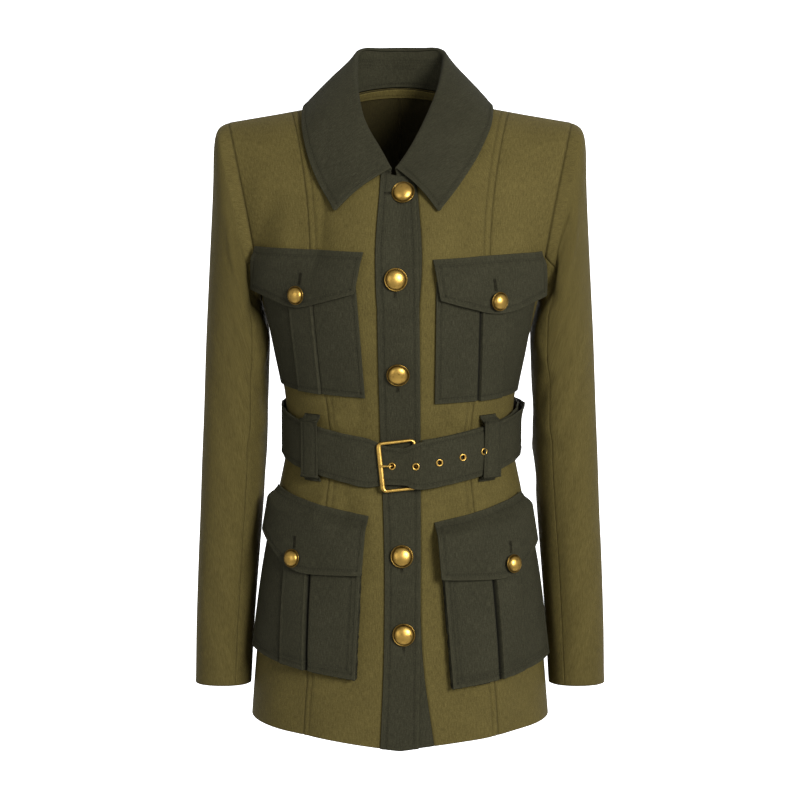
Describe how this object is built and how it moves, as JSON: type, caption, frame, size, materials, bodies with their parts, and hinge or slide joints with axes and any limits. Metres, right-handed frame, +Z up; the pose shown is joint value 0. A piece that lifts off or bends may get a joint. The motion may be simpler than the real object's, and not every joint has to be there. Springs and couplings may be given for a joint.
{
  "type": "belted patch pocket jacket",
  "caption": "Olive twill safari jacket with charcoal collar, placket, belt and pleated flap pockets, gold domed buttons and buckle, hollow as on a figure",
  "frame": {"origin": "Middle of the neck at the height of the shoulder seams, where the jacket hangs from the wearer's shoulders", "axes": "+Z up, -Y is the front of the jacket, +X is the wearer's left"},
  "size_m": [0.4616, 0.2574, 0.7469],
  "materials": {
    "body_cloth": "matt olive wool twill",
    "contrast_cloth": "matt charcoal green plain weave",
    "gold_metal": "polished gold coloured metal"
  },
  "bodies": {
    "root": {"back_left": "body_cloth", "back_right": "body_cloth", "belt": "contrast_cloth", "belt_loop_left": "contrast_cloth", "belt_loop_right": "contrast_cloth", "buckle_frame": "gold_metal", "buckle_prong": "gold_metal", "centre_front_left": "body_cloth", "centre_front_right": "body_cloth", "chest_button_left": "gold_metal", "chest_button_right": "gold_metal", "chest_flap_left": "contrast_cloth", "chest_flap_right": "contrast_cloth", "chest_pocket_left": "contrast_cloth", "chest_pocket_right": "contrast_cloth", "collar_leaf": "contrast_cloth", "collar_stand": "contrast_cloth", "eyelet_1": "gold_metal", "eyelet_2": "gold_metal", "eyelet_3": "gold_metal", "eyelet_4": "gold_metal", "eyelet_5": "gold_metal", "front_button_1": "gold_metal", "front_button_2": "gold_metal", "front_button_3": "gold_metal", "front_button_4": "gold_metal", "front_button_5": "gold_metal", "lower_button_left": "gold_metal", "lower_button_right": "gold_metal", "lower_flap_left": "contrast_cloth", "lower_flap_right": "contrast_cloth", "lower_pocket_left": "contrast_cloth", "lower_pocket_right": "contrast_cloth", "neck_facing": "body_cloth", "placket_over": "contrast_cloth", "placket_under": "contrast_cloth", "side_front_left": "body_cloth", "side_front_right": "body_cloth", "under_sleeve_left": "body_cloth", "under_sleeve_right": "body_cloth", "upper_sleeve_left": "body_cloth", "upper_sleeve_right": "body_cloth"}
  },
  "joints": []
}
